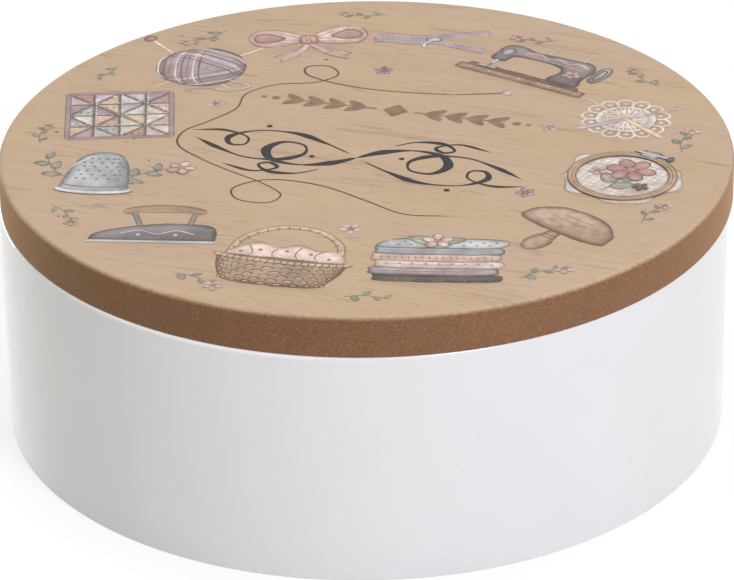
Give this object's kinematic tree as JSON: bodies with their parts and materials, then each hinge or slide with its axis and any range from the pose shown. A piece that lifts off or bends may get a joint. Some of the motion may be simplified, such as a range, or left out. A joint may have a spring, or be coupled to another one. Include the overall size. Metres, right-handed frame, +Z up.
{
  "type": "round sewing box",
  "caption": "Round wooden sewing box: white cylindrical body, lift-out cross of dividers on felt, and a thick flat lift-off lid with a brown edge and a printed pale wood face.",
  "frame": {"origin": "centre of the underside, in the plane the box stands on", "axes": "+Z up along the box's axis; the long divider runs along X and the cross divider along Y; -Y is the pictured front"},
  "size_m": [0.2405, 0.2399, 0.0926],
  "materials": {
    "wall_lacquer": "satin white lacquer on fibreboard",
    "base_lacquer": "satin white lacquer on fibreboard",
    "divider_lacquer": "satin white lacquer on thin board",
    "felt": "pressed wool felt",
    "fibreboard": "stained fibreboard with a bare cut edge",
    "facing": "matt pale wood facing with a print",
    "plug_board": "bare fibreboard",
    "screw_steel": "zinc-plated steel"
  },
  "bodies": {
    "box": {"side_wall": "wall_lacquer", "base_panel": "base_lacquer", "base_lining": "felt"},
    "dividers": {"divider_long": "divider_lacquer", "divider_cross": "divider_lacquer"},
    "lid": {"lid_board": "fibreboard", "lid_face": "facing", "lid_plug": "plug_board", "plug_screws": "screw_steel"}
  },
  "joints": [
    {"name": "divider_lift", "type": "slide", "parent": "box", "child": "dividers", "axis": [0, 0, 1], "range_m": [0, 0.08]},
    {"name": "lid_lift", "type": "slide", "parent": "dividers", "child": "lid", "axis": [0, 0, 1], "range_m": [0, 0.1]}
  ]
}
